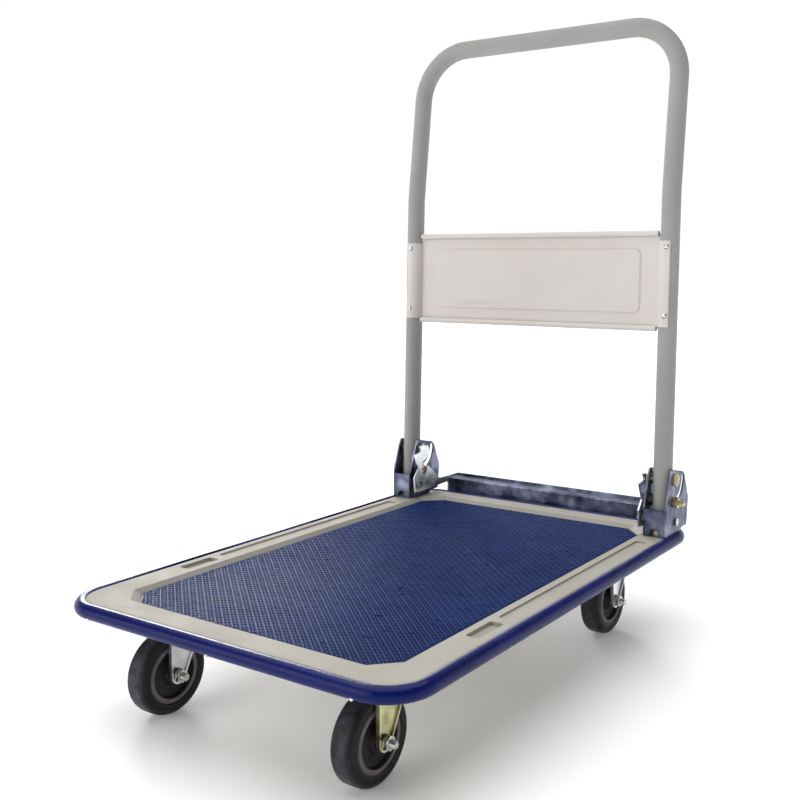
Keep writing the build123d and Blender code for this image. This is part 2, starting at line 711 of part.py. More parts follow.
def panel_web(flat_half, height):
    """The flat sheet, with its lower and upper edges rolled forward into beads."""
    web = block(
        (-flat_half, -0.5 * PANEL_SHEET, PANEL_BEAD_R),
        (flat_half, 0.5 * PANEL_SHEET, height - PANEL_BEAD_R),
    )
    half = flat_half - PANEL_BEAD_END
    roll_y = 0.5 * PANEL_SHEET - PANEL_BEAD_R
    gap_y = (-2.2 * PANEL_SHEET, -0.5 * PANEL_SHEET)
    for roll_z, inward in ((PANEL_BEAD_R, 1), (height - PANEL_BEAD_R, -1)):
        bead = cylinder(PANEL_BEAD_R, (-half, roll_y, roll_z), (half, roll_y, roll_z))
        bore = PANEL_BEAD_R - PANEL_SHEET
        bead -= cylinder(bore, (-half - 1, roll_y, roll_z), (half + 1, roll_y, roll_z))
        low_z, high_z = sorted((roll_z, roll_z + inward * 2 * PANEL_BEAD_R))
        web += bead - block((-half - 1, gap_y[0], low_z), (half + 1, gap_y[1], high_z))
    return web


def panel_tabs(inner, outer):
    """The ends of the sheet, wrapped round the inner side and the front of each leg."""
    section = None
    for side in (-1, 1):
        wrap = Circle(outer) - Circle(inner) - Pos(0, outer) * Rectangle(4 * outer, 2 * outer)
        wrap -= Pos(side * (TAB_REACH + outer), 0) * Rectangle(2 * outer, 4 * outer)
        wrap += Pos(-side * (inner + 0.5 * PANEL_SHEET), 0) * Rectangle(PANEL_SHEET, PANEL_SHEET)
        placed = Pos(side * HANDLE_X, 0) * wrap
        section = placed if section is None else section + placed
    return Pos(0, 0, TAB_LOW - PANEL_LOW) * extrude(section, TAB_HIGH - TAB_LOW)


def embossed(panel, middle):
    """The panel with a shallow field pressed forward in its middle."""
    for raised in (True, False):
        front = -EMBOSS_DEPTH + (-0.5 if raised else 0.5) * PANEL_SHEET
        back = 0.0 if raised else 0.5 * PANEL_SHEET + 1e-3
        grow = PANEL_SHEET if raised else 0.0
        wide = Plane(origin=(0, back, middle), x_dir=(1, 0, 0), z_dir=(0, -1, 0))
        field = wide * RectangleRounded(
            2 * (EMBOSS_HALF_X + grow), 2 * (EMBOSS_HALF_Z + grow), EMBOSS_CORNER + grow)
        pad = extrude(field, back - front, taper=EMBOSS_SLOPE)
        panel = panel + pad if raised else panel - pad
    return panel


def handle_panel():
    """Sheet between the legs: rolled edges, an embossed field and a tab round each leg."""
    height = PANEL_HIGH - PANEL_LOW
    inner = TUBE_R + PANEL_WRAP_GAP
    outer = inner + PANEL_SHEET
    panel = panel_web(HANDLE_X - inner, height) + panel_tabs(inner, outer)
    panel = embossed(panel, 0.5 * height)
    y, z = leg_point((PANEL_LOW - PIVOT_Z) / math.cos(LEAN))
    panel = Pos(0, y, z) * Rot(math.degrees(-LEAN), 0, 0) * panel
    for x, rivet_z in panel_rivet_places():
        at_y, at_z = leg_point(rivet_z - PIVOT_Z)
        panel -= cylinder(PANEL_RIVET_R, *across_leg(x, at_y, at_z, -TUBE_R - 4, -TUBE_R + 4))
        panel -= cylinder(PANEL_RIVET_HEAD_R, *across_leg(x, at_y, at_z, -outer - 4, -outer + 0.6))
    return panel


def panel_rivets():
    rivets = []
    head_seat = -(TUBE_R + PANEL_WRAP_GAP + PANEL_SHEET)
    for x, rivet_z in panel_rivet_places():
        y, z = leg_point(rivet_z - PIVOT_Z)
        shank = cylinder(PANEL_RIVET_R, *across_leg(x, y, z, head_seat - 0.5, -TUBE_R + 3.0))
        head = cylinder(PANEL_RIVET_HEAD_R, *across_leg(x, y, z, head_seat - 1.7, head_seat + 0.6))
        rim = head.edges().filter_by(GeomType.CIRCLE).sort_by(Axis.Y)[0]
        rivets.append(fillet(rim, 1.1) + shank)
    return rivets


def handle_spacers():
    """Washers that keep each leg in the middle of its bracket."""
    spacers = []
    keeper_y, keeper_z = leg_point(-KEEPER_DROP)
    for side in (-1, 1):
        for y, z, bore in (
            (PIVOT_Y, PIVOT_Z, PIVOT_R + RUNNING_GAP), (keeper_y, keeper_z, KEEPER_R),
        ):
            for face in (-1, 1):
                start = side * HANDLE_X + face * (TUBE_R + 0.05)
                end = start + face * (SIDE_GAP - 0.15)
                ring = cylinder(SPACER_R, (start, y, z), (end, y, z))
                spacers.append(ring - cylinder(bore, (start - face, y, z), (end + face, y, z)))
    return spacers


def lock_pedal_bar():
    """Bent bar behind the deck that the foot presses down."""
    half = CHEEK_OUTER - CHEEK_SHEET
    bar = side_plate([
        (BAR_FRONT, BAR_BOTTOM), (BAR_FRONT + BAR_SHEET, BAR_BOTTOM),
        (BAR_FRONT + BAR_SHEET, BAR_TOP - BAR_SHEET), (BAR_REAR, BAR_TOP - BAR_SHEET),
        (BAR_REAR, BAR_TOP + BAR_LIP), (BAR_REAR - BAR_SHEET, BAR_TOP + BAR_LIP),
        (BAR_REAR - BAR_SHEET, BAR_TOP), (BAR_FRONT, BAR_TOP),
    ], -half, half)
    fold = bar.edges().filter_by(Axis.X).sort_by_distance((0, BAR_FRONT, BAR_TOP))[0]
    return fillet(fold, 1.8)


def latch_cheek(side):
    """Side arm of the pedal: pivot eye, catch for the keeper bolt and a toothed nose."""
    outline = [
        (253.0, 139.5), (266.0, 138.5), (338.0, 141.0), (BAR_FRONT, 139.0),
        (BAR_FRONT, BAR_BOTTOM + 2), (350.0, BAR_BOTTOM), (BAR_REAR, 143.0),
        (BAR_REAR, BAR_TOP + BAR_LIP), (318.0, 150.5), (300.0, 166.0), (284.5, 177.0),
        (283.5, 168.0), (278.0, 163.5), (271.5, 166.5), (269.5, 176.0), (273.0, 184.5),
        (286.0, 189.0), (291.0, 198.0), (286.0, 207.5), (264.5, 209.0), (269.0, 200.5),
        (252.0, 197.5), (261.0, 175.0), (250.5, 162.0),
    ]
    edges = sorted((side * CHEEK_OUTER, side * (CHEEK_OUTER - CHEEK_SHEET)))
    cheek = side_plate(outline, *edges)
    at = (PEDAL_PIVOT_Y, PEDAL_PIVOT_Z)
    bore = PEDAL_PIN_R + RUNNING_GAP
    return cheek - cylinder(bore, (edges[0] - 1, *at), (edges[1] + 1, *at))


def pedal_springs():
    """Torsion springs around the pedal pivots, between bracket and cheek."""
    wire = SPRING_WIRE_R
    coil_r = PEDAL_PIN_R + 0.9 + wire
    springs = []
    for side in (-1, 1):
        first = side * (CHEEK_OUTER + wire + 0.05)
        spring = None
        for i in range(SPRING_TURNS):
            x = first + side * SPRING_PITCH * i
            ring = Pos(x, PEDAL_PIVOT_Y, PEDAL_PIVOT_Z) * Rot(0, 90, 0) * Torus(coil_r, wire)
            spring = ring if spring is None else spring + ring
        last = first + side * SPRING_PITCH * (SPRING_TURNS - 1)
        y = PEDAL_PIVOT_Y
        top = PEDAL_PIVOT_Z + coil_r
        low = PEDAL_PIVOT_Z - coil_r
        spring += cylinder(0.8 * wire, (first, y, top), (last, y, top))
        spring += cylinder(0.9 * wire, (first, y, top), (first, y + 18.0, top))
        spring += cylinder(0.9 * wire, (last, y, low), (last, y - 9.0, low))
        springs.append(spring)
    return springs


def save(name, shape):
    """Write one named part, moved into the frame of the whole cart."""
    solids = shape if isinstance(shape, list) else [shape]
    pieces = []
    for item in solids:
        pieces.extend((Pos(0, FRAME_Y, 0) * item).solids())
    body = pieces[0] if len(pieces) == 1 else Compound(children=pieces)
    export_step(body, f"parts/{name}.step")


def save_chassis():
    save("deck_plate", deck_plate())
    save("deck_mat", deck_mat())
    save("edge_bumper", edge_bumper())
    save("bumper_rivets", bumper_rivets())
    save("cross_member_front", cross_member(FIXED_PLATE_Y, False))
    save("cross_member_rear", cross_member(SWIVEL_Y, True))
    save("side_rails", side_rails())


def save_caster_fixings():
    bolts = []
    nuts = []
    top = CASTER_PLATE_TOP + MEMBER_SHEET
    low = CASTER_PLATE_TOP - CASTER_PLATE
    for x, y in caster_bolt_places():
        bolt = cylinder(CASTER_BOLT_R, (x, y, low - 1), (x, y, top + 7.0))
        bolts.append(bolt + hexagon(FLATS_M6, (x, y, low - 4.0), (x, y, low)))
        nut = hexagon(FLATS_M6, (x, y, top), (x, y, top + 5.0))
        nuts.append(nut - cylinder(CASTER_BOLT_R, (x, y, top - 1), (x, y, top + 6)))
    save("caster_bolts", bolts)
    save("caster_nuts", nuts)


def save_hinges():
    for side, name in ((-1, "left"), (1, "right")):
        save(f"hinge_bracket_{name}", hinge_bracket(side))
        save(f"latch_cheek_{name}", latch_cheek(side))
    bolts, nuts = deck_bolts()
    save("bracket_deck_bolts", bolts)
    save("bracket_deck_nuts", nuts)
    bolts, nuts = through_bolts(
        PIVOT_R, FLATS_M10, (PIVOT_Y, PIVOT_Z), head=4.6, tip=5.5, nut=4.5, gap=0.0)
    save("handle_pivot_bolts", bolts)
    save("handle_pivot_nuts", nuts)
    bolts, nuts = through_bolts(
        KEEPER_R, FLATS_M8, leg_point(-KEEPER_DROP), head=4.6, tip=15.0, nut=6.5, gap=0.2)
    save("keeper_bolts", bolts)
    save("keeper_nuts", nuts)
    save("bracket_tie_rivets", bracket_tie_rivets())
    save("pedal_pivot_pins", pedal_pivot_pins())
    save("pedal_springs", pedal_springs())
    save("lock_pedal_bar", lock_pedal_bar())


def save_handle():
    save("handle_tube", handle_tube())
    save("handle_panel", handle_panel())
    save("panel_rivets", panel_rivets())
    save("handle_spacers", handle_spacers())


def save_casters():
    fixed = [(side * FIXED_X, FIXED_AXLE_Y) for side in (-1, 1)]
    save("fixed_axle_bolts", [axle_bolt(x, y) for x, y in fixed])
    save("fixed_axle_nuts", [axle_nut(x, y) for x, y in fixed])
    save("fixed_axle_washers", [washer for x, y in fixed for washer in axle_washers(x, y)])
    save("fixed_axle_sleeves", [axle_sleeve(x, y) for x, y in fixed])
    save("swivel_kingpins", swivel_kingpins())
    save("swivel_balls", swivel_balls())
    for side, name in ((-1, "left"), (1, "right")):
        save(f"fixed_fork_{name}", fixed_fork(side))
        save(f"front_{name}_tyre", tyre(side * FIXED_X, FIXED_AXLE_Y))
        save(f"front_{name}_hub", wheel_hub(side * FIXED_X, FIXED_AXLE_Y))
        x = side * SWIVEL_X
        y = SWIVEL_Y - SWIVEL_TRAIL
        save(f"swivel_plate_{name}", swivel_plate(side))
        save(f"swivel_fork_{name}", swivel_fork(side))
        save(f"rear_{name}_axle_bolt", axle_bolt(x, y))
        save(f"rear_{name}_axle_nut", axle_nut(x, y))
        save(f"rear_{name}_axle_washers", axle_washers(x, y))
        save(f"rear_{name}_axle_sleeve", axle_sleeve(x, y))
        save(f"rear_{name}_tyre", tyre(x, y))
        save(f"rear_{name}_hub", wheel_hub(x, y))


save_chassis()
save_caster_fixings()
save_hinges()
save_handle()
save_casters()
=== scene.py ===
import json
import math

import bmesh
import bpy
from mathutils import Matrix, Vector

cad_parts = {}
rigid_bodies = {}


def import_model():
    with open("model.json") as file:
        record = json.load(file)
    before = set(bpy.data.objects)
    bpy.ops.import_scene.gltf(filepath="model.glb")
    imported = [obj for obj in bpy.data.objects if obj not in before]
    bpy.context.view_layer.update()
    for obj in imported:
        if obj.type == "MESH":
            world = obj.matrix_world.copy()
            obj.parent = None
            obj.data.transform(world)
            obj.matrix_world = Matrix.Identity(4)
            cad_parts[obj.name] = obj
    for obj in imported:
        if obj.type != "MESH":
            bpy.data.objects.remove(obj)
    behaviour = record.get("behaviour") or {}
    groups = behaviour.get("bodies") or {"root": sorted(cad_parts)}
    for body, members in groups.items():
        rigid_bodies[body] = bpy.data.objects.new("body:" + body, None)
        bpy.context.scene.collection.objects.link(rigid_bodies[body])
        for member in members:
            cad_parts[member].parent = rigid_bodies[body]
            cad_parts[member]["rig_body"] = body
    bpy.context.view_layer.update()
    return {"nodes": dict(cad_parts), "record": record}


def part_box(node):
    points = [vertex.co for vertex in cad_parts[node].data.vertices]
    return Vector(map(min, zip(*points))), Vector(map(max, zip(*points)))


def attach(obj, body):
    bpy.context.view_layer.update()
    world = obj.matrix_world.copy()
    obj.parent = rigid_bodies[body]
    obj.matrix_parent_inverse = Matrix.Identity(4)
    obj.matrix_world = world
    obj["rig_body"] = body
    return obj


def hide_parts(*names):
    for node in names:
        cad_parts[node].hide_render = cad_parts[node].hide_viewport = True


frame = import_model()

nodes = frame["nodes"]
MM = 0.001

# Camera: where it stands, which way it looks and how its picture is framed.
CAMERA_PLACE = (0.72296, -1.0037, 0.48823)
CAMERA_YAW = math.radians(32.899)
CAMERA_PITCH = math.radians(4.522)
CAMERA_ROLL = math.radians(0.174)
CAMERA_LENS = 45.69
CAMERA_SHIFT = (-0.0919, -0.0694)

# Mat: ribs run both ways across it, a low one between each pair of high ones.
RIB_STEP = 3.82 * MM
RIB_ANGLES = (50.0, -52.0)
HIGH_RIB = (1.7 * MM, 0.75 * MM)
LOW_RIB = (1.0 * MM, 0.35 * MM)
MAT_CHAMFER = 25.0 * MM
MAT_CHAMFER_SHRINK = 0.59
RIB_SECTION = ((-0.5, -0.15), (-0.34, 0.6), (-0.14, 0.95), (0.14, 0.95), (0.34, 0.6), (0.5, -0.15))
# Share of the painted highlight across a rib's section, palest on the crest.
RIB_CREST_HIGHLIGHT = [0.0, 0.35, 1.0, 1.0, 0.35, 0.0]

# Bumper strip.
BUMPER_RADIUS = 8.2 * MM
BUMPER_CORNER = 43.4 * MM
BUMPER_JOINT = 0.5 * MM
BUMPER_CORNER_STEPS = 28
BUMPER_STEP = 12 * MM
BUMPER_PUCKER = 0.14 * MM

# Wheels: points round the axle, the hub's bore, and where its rim begins, the rim painted paler as a painted
# highlight, in millimetres.
AROUND = 96
HUB_BORE = 6.05
RIM_INNER_R = 26.8
RIM_HALF_WIDTH = 11.5

# Fasteners: points round a hexagon, and the turned face as a share of the flats.
HEX_POINTS = 48
HEX_FACE = 0.95
THREAD_POINTS = 32
COARSE_PITCH = 1.25 * MM

# Panel rivets: how far the handle leans, as a slope, and where the head sits in its CAD solid.
PANEL_LEAN = 0.035
RIVET_HEAD_HEIGHT = 1.75 * MM
RIVET_HEAD_R = 3.8 * MM
RIVET_POINTS = 32

# Pedal springs.
SPRING_WIRE_R = 0.7 * MM
SPRING_TURNS = 2.5
SPRING_STEPS = 60
SPRING_POINTS = 10

# Light: which way the window is, how bright the near side and the ceiling are, and the floor's own glow.
WINDOW_WAY = (-0.55, 0.8, 0.0)
NEAR_LIGHT = 0.3
CEILING_LIGHT = 0.22
FLOOR_GLOW = 0.14
FLOOR_REACH = 14.0


# ---------------------------------------------------------------- meshes

class Shape:
    """Collects skinned rings of points, and turns them into one mesh object."""

    def __init__(self):
        self.points = []
        self.faces = []
        self.wear_and_highlight = []

    def skin(self, rings, loop=False, wear_and_highlight=None):
        """Join rings with the same number of points. wear_and_highlight is one value for each ring or point:
        the tyre's greyed tread, and the painted highlight on the mat crests and the hub rim.
        """
        first = len(self.points)
        count = len(rings[0])
        for i, ring in enumerate(rings):
            value = 0.0 if wear_and_highlight is None else wear_and_highlight[i]
            values = value if isinstance(value, list) else [value] * count
            self.points.extend(ring)
            self.wear_and_highlight.extend(values)
        last = len(rings) if loop else len(rings) - 1
        for i in range(last):
            here = first + i * count
            there = first + ((i + 1) % len(rings)) * count
            for j in range(count):
                k = (j + 1) % count
                self.faces.append((here + j, here + k, there + k, there + j))
        if not loop:
            end = first + (len(rings) - 1) * count
            self.faces.append(tuple(range(first + count - 1, first - 1, -1)))
            self.faces.append(tuple(range(end, end + count)))

    def build(self, name, material, sharp=35.0):
        mesh = bpy.data.meshes.new(name)
        mesh.from_pydata(self.points, [], self.faces)
        work = bmesh.new()
        work.from_mesh(mesh)
        bmesh.ops.recalc_face_normals(work, faces=work.faces)
        work.to_mesh(mesh)
        work.free()
        # This mask carries the tyre's greyed tread and the painted highlight of the mat crests and the hub
        # rim.
        layer = mesh.attributes.new("wear_and_highlight", "FLOAT", "POINT")
        layer.data.foreach_set("value", self.wear_and_highlight)
        mesh.polygons.foreach_set("use_smooth", [True] * len(mesh.polygons))
        mesh.set_sharp_from_angle(angle=math.radians(sharp))
        mesh.materials.append(material)
        piece = bpy.data.objects.new(name, mesh)
        bpy.context.scene.collection.objects.link(piece)
        return piece


def stand_for(piece, *cad_nodes):
    """The piece rides with these nodes and is shown in their place, and the nodes are hidden."""
    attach(piece, nodes[cad_nodes[0]]["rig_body"])
    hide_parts(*cad_nodes)
    return piece


def solids_of(node):
    """The corner points of each separate solid of a CAD node."""
    work = bmesh.new()
    work.from_mesh(nodes[node].data)
    bmesh.ops.remove_doubles(work, verts=work.verts, dist=1e-6)
    waiting = set(work.verts)
    groups = []
    while waiting:
        reached = [waiting.pop()]
        group = []
        while reached:
            vertex = reached.pop()
            group.append(vertex.co.copy())
            for edge in vertex.link_edges:
                other = edge.other_vert(vertex)
                if other in waiting:
                    waiting.discard(other)
                    reached.append(other)
        groups.append(group)
    work.free()
    return groups


def box_of(points):
    low = Vector([min(p[i] for p in points) for i in range(3)])
    high = Vector([max(p[i] for p in points) for i in range(3)])
    return low, high


def arc(centre, radius, start, end, steps):
    """Points on an arc, angles in degrees."""
    made = []
    for i in range(steps + 1):
        angle = math.radians(start + (end - start) * i / steps)
        made.append((centre[0] + radius * math.cos(angle), centre[1] + radius * math.sin(angle)))
    return made


def rounded(points, radius, steps=4):
    """A closed outline with each corner turned into a small curve."""
    made = []
    for i, corner in enumerate(points):
        here = Vector(corner)
        before = Vector(points[i - 1]) - here
        after = Vector(points[(i + 1) % len(points)]) - here
        reach = min(radius, 0.45 * before.length, 0.45 * after.length)
        start = here + before.normalized() * reach
        end = here + after.normalized() * reach
        for k in range(steps + 1):
            t = k / steps
            made.append((1 - t) ** 2 * start + 2 * t * (1 - t) * here + t * t * end)
    return [tuple(p) for p in made]


# ---------------------------------------------------------------- materials

def srgb(red, green, blue):
    """A colour given in 0..255 as the shader's linear values."""
    made = []
    for value in (red, green, blue):
        share = value / 255
        made.append(share / 12.92 if share <= 0.04045 else ((share + 0.055) / 1.055) ** 2.4)
    return (*made, 1.0)


class Finish:
    """A node material: a shader, and ways to vary its colour, roughness and surface."""

    def __init__(
        self, name, metallic=0.0, coat=0.0, coat_roughness=0.1, specular=0.5, tint=(1.0, 1.0, 1.0),
    ):
        self.material = bpy.data.materials.new(name)
        self.material.use_nodes = True
        self.tree = self.material.node_tree
        self.shader = self.tree.nodes["Principled BSDF"]
        self.shader.inputs["Metallic"].default_value = metallic
        self.shader.inputs["Coat Weight"].default_value = coat
        self.shader.inputs["Coat Roughness"].default_value = coat_roughness
        self.shader.inputs["Specular IOR Level"].default_value = specular
        self.shader.inputs["Specular Tint"].default_value = (*tint, 1.0)
        self.place = self.tree.nodes.new("ShaderNodeTexCoord").outputs["Object"]

    def link(self, source, target):
        self.tree.links.new(source, target)

    def noise(self, scale, detail=4.0, stretch=None, turn=(0.0, 0.0, 0.0)):
        """Noise in patches of about 1/scale metres, drawn out where stretch is small."""
        texture = self.tree.nodes.new("ShaderNodeTexNoise")
        texture.inputs["Scale"].default_value = scale
        texture.inputs["Detail"].default_value = detail
        place = self.place
        if stretch:
            mapping = self.tree.nodes.new("ShaderNodeMapping")
            mapping.inputs["Scale"].default_value = stretch
            mapping.inputs["Rotation"].default_value = [math.radians(a) for a in turn]
            self.link(place, mapping.inputs["Vector"])
            place = mapping.outputs["Vector"]
        self.link(place, texture.inputs["Vector"])
        return texture.outputs["Fac"]

    def worn_and_lit(self):
        """The wear and painted highlight that the mesh carries, 0 to 1."""
        attribute = self.tree.nodes.new("ShaderNodeAttribute")
        attribute.attribute_name = "wear_and_highlight"
        return attribute.outputs["Fac"]

    def span(self, source, start, end, low=0.0, high=1.0):
        """source from start..end as low..high."""
        node = self.tree.nodes.new("ShaderNodeMapRange")
        for name, value in (("From Min", start), ("From Max", end), ("To Min", low), ("To Max", high)):
            node.inputs[name].default_value = value
        self.link(source, node.inputs["Value"])
        return node.outputs["Result"]

    def ramp(self, source, *stops):
        """Colours placed along 0..1."""
        node = self.tree.nodes.new("ShaderNodeValToRGB")
        elements = node.color_ramp.elements
        while len(elements) < len(stops):
            elements.new(0.5)
        for element, (position, colour) in zip(elements, stops):
            element.position = position
            element.color = colour
        self.link(source, node.inputs["Fac"])
        return node.outputs["Color"]

    def mix(self, share, under, over):
        """over laid on under, by share. Each is a colour or an output."""
        node = self.tree.nodes.new("ShaderNodeMix")
        node.data_type = "RGBA"
        for value, socket in ((share, node.inputs[0]), (under, node.inputs[6]), (over, node.inputs[7])):
            if isinstance(value, (tuple, float)):
                socket.default_value = value
            else:
                self.link(value, socket)
        return node.outputs[2]

    def multiply(self, first, second):
        node = self.tree.nodes.new("ShaderNodeMath")
        node.operation = "MULTIPLY"
        for value, socket in zip((first, second), node.inputs):
            if isinstance(value, float):
                socket.default_value = value
            else:
                self.link(value, socket)
        return node.outputs[0]

    def add(self, first, second):
        output = self.multiply(first, second)
        output.node.operation = "ADD"
        return output

    def colour(self, source):
        self.link(source, self.shader.inputs["Base Color"])

    def roughness(self, source):
        self.link(source, self.shader.inputs["Roughness"])

    def bump(self, height, depth):
        """Surface relief of that depth in metres."""
        node = self.tree.nodes.new("ShaderNodeBump")
        node.inputs["Strength"].default_value = 1.0
        node.inputs["Distance"].default_value = depth
        self.link(height, node.inputs["Height"])
        self.link(node.outputs["Normal"], self.shader.inputs["Normal"])


def powder_coat(name, pale, deep, dirt, scuffed):
    """Satin paint with orange peel, faint clouding and hairline scuffs."""
    finish = Finish(name, specular=0.2)
    cloud = finish.noise(9.0, 5.0)
    base = finish.ramp(cloud, (0.3, deep), (0.7, pale))
    scuff_a = finish.noise(60.0, 2.0, stretch=(1.0, 0.035, 1.0), turn=(0, 0, 18))
    scuff_b = finish.noise(75.0, 2.0, stretch=(0.03, 1.0, 1.0), turn=(0, 0, -9))
    patches = finish.span(finish.noise(6.0, 2.0), 0.5, 0.62)
    lines = finish.add(finish.span(scuff_a, 0.68, 0.73), finish.span(scuff_b, 0.69, 0.74))
    scuffs = finish.multiply(finish.multiply(lines, patches), scuffed)
    base = finish.mix(scuffs, base, dirt)
    specks = finish.multiply(finish.span(finish.noise(420.0, 2.0), 0.7, 0.78), scuffed)
    finish.colour(finish.mix(specks, base, dirt))
    finish.roughness(finish.span(finish.noise(35.0, 3.0), 0.3, 0.7, 0.56, 0.72))
    finish.bump(finish.noise(900.0, 2.0), 0.00006)
    return finish.material


def zinc(name, pale, mid, dark, stain_share, stain_colour=(96, 74, 40), streaks=0.45):
    """Plated sheet: cool blotches, rolling lines and a little staining; with the dark blue colours given for
    the brackets, the blotches are painted reflection and painted shade.
    """
    finish = Finish(name, metallic=1.0, specular=0.5)
    cloud = finish.noise(38.0, 6.0)
    base = finish.ramp(cloud, (0.3, srgb(*dark)), (0.5, srgb(*mid)), (0.7, srgb(*pale)))
    rolling = finish.noise(90.0, 3.0, stretch=(1.0, 1.0, 0.06))
    base = finish.mix(finish.span(rolling, 0.4, 0.75, 0.0, streaks), base, srgb(*pale))
    stain = finish.span(finish.noise(55.0, 5.0), 0.6, 0.72, 0.0, stain_share)
    finish.colour(finish.mix(stain, base, srgb(*stain_colour)))
    finish.roughness(finish.span(finish.noise(70.0, 4.0), 0.3, 0.7, 0.24, 0.46))
    finish.bump(finish.noise(260.0, 3.0), 0.00009)
    return finish.material


def yellow_zinc():
    """Chromated fasteners: straw yellow running to pink and green."""
    finish = Finish("yellow_zinc", metallic=1.0)
    base = finish.ramp(
        finish.noise(150.0, 4.0),
        (0.25, srgb(132, 124, 84)), (0.45, srgb(206, 198, 156)),
        (0.6, srgb(176, 160, 132)), (0.8, srgb(158, 166, 132)),
    )
    finish.colour(base)
    finish.roughness(finish.span(finish.noise(200.0, 3.0), 0.3, 0.7, 0.2, 0.38))
    finish.bump(finish.noise(1200.0, 2.0), 0.00003)
    return finish.material


def bright_metal(name, pale, dark, low, high):
    finish = Finish(name, metallic=1.0)
    finish.colour(finish.ramp(finish.noise(180.0, 4.0), (0.3, dark), (0.65, pale)))
    finish.roughness(finish.span(finish.noise(160.0, 3.0), 0.3, 0.7, low, high))
    finish.bump(finish.noise(1400.0, 2.0), 0.00002)
    return finish.material


def vinyl_mat():
    """Embossed sheet: crests of the ribs are painted paler as a painted highlight on the rib tops, dust lies
    between them.
    """
    finish = Finish("mat_vinyl", specular=0.06, tint=(0.62, 0.74, 1.0))
    cloud = finish.noise(11.0, 5.0)
    base = finish.ramp(cloud, (0.3, srgb(10, 30, 74)), (0.7, srgb(15, 38, 90)))
    # Painted highlight: the rib crests marked in the mesh are painted a paler blue, standing in for light
    # caught on the rib tops.
    crest_highlight = finish.multiply(finish.worn_and_lit(), finish.span(finish.noise(30.0, 3.0), 0.3, 0.7, 0.3, 0.75))
    base = finish.mix(crest_highlight, base, srgb(48, 70, 132))
    dust = finish.multiply(finish.span(finish.noise(260.0, 4.0), 0.52, 0.75), 0.05)
    finish.colour(finish.mix(dust, base, srgb(96, 104, 140)))
    finish.roughness(finish.span(finish.noise(90.0, 3.0), 0.3, 0.7, 0.27, 0.4))
    finish.bump(finish.noise(1500.0, 2.0), 0.00006)
    return finish.material


def bumper_vinyl():
    """Glossy soft strip with fine scuffs along it."""
    finish = Finish(
        "bumper_vinyl", coat=0.02, coat_roughness=0.08, specular=0.16, tint=(0.8, 0.85, 1.0))
    base = finish.ramp(finish.noise(14.0, 4.0), (0.3, srgb(9, 16, 78)), (0.7, srgb(13, 24, 96)))
    scuffs = finish.noise(120.0, 3.0, stretch=(0.08, 0.08, 1.0))
    worn_and_lit = finish.multiply(finish.span(scuffs, 0.64, 0.74), 0.2)
    finish.colour(finish.mix(worn_and_lit, base, srgb(50, 62, 132)))
    finish.roughness(finish.span(finish.noise(40.0, 4.0), 0.3, 0.7, 0.16, 0.34))
    finish.bump(finish.noise(180.0, 3.0), 0.00012)
    return finish.material


def tyre_rubber():
    """Black rubber with a greyed tread and a dull bloom on the sidewall."""
    finish = Finish("tyre_rubber", specular=0.25)
    base = finish.ramp(finish.noise(30.0, 5.0), (0.3, srgb(17, 16, 19)), (0.7, srgb(28, 27, 31)))
    grime = finish.multiply(finish.worn_and_lit(), finish.span(finish.noise(85.0, 5.0), 0.35, 0.7))
    finish.colour(finish.mix(grime, base, srgb(62, 62, 76)))
    finish.roughness(finish.span(finish.noise(70.0, 4.0), 0.3, 0.7, 0.36, 0.56))
    finish.bump(finish.noise(700.0, 3.0), 0.00012)
    return finish.material


def hub_plastic():
    """Dark moulded plastic, with the rim painted paler as a painted highlight."""
    finish = Finish("hub_plastic", specular=0.25)
    base = finish.ramp(finish.noise(40.0, 5.0), (0.3, srgb(32, 29, 32)), (0.7, srgb(46, 42, 46)))
    # Painted highlight: the hub's rim is painted pale where light would fall on it, and the hollow inside
    # stays dark.
    rim = finish.multiply(finish.worn_and_lit(), finish.span(finish.noise(60.0, 4.0), 0.3, 0.7, 0.7, 1.0))
    finish.colour(finish.mix(rim, base, srgb(118, 108, 114)))
    finish.roughness(finish.span(finish.noise(90.0, 3.0), 0.3, 0.7, 0.4, 0.58))
    finish.bump(finish.noise(1000.0, 2.0), 0.00007)
    return finish.material


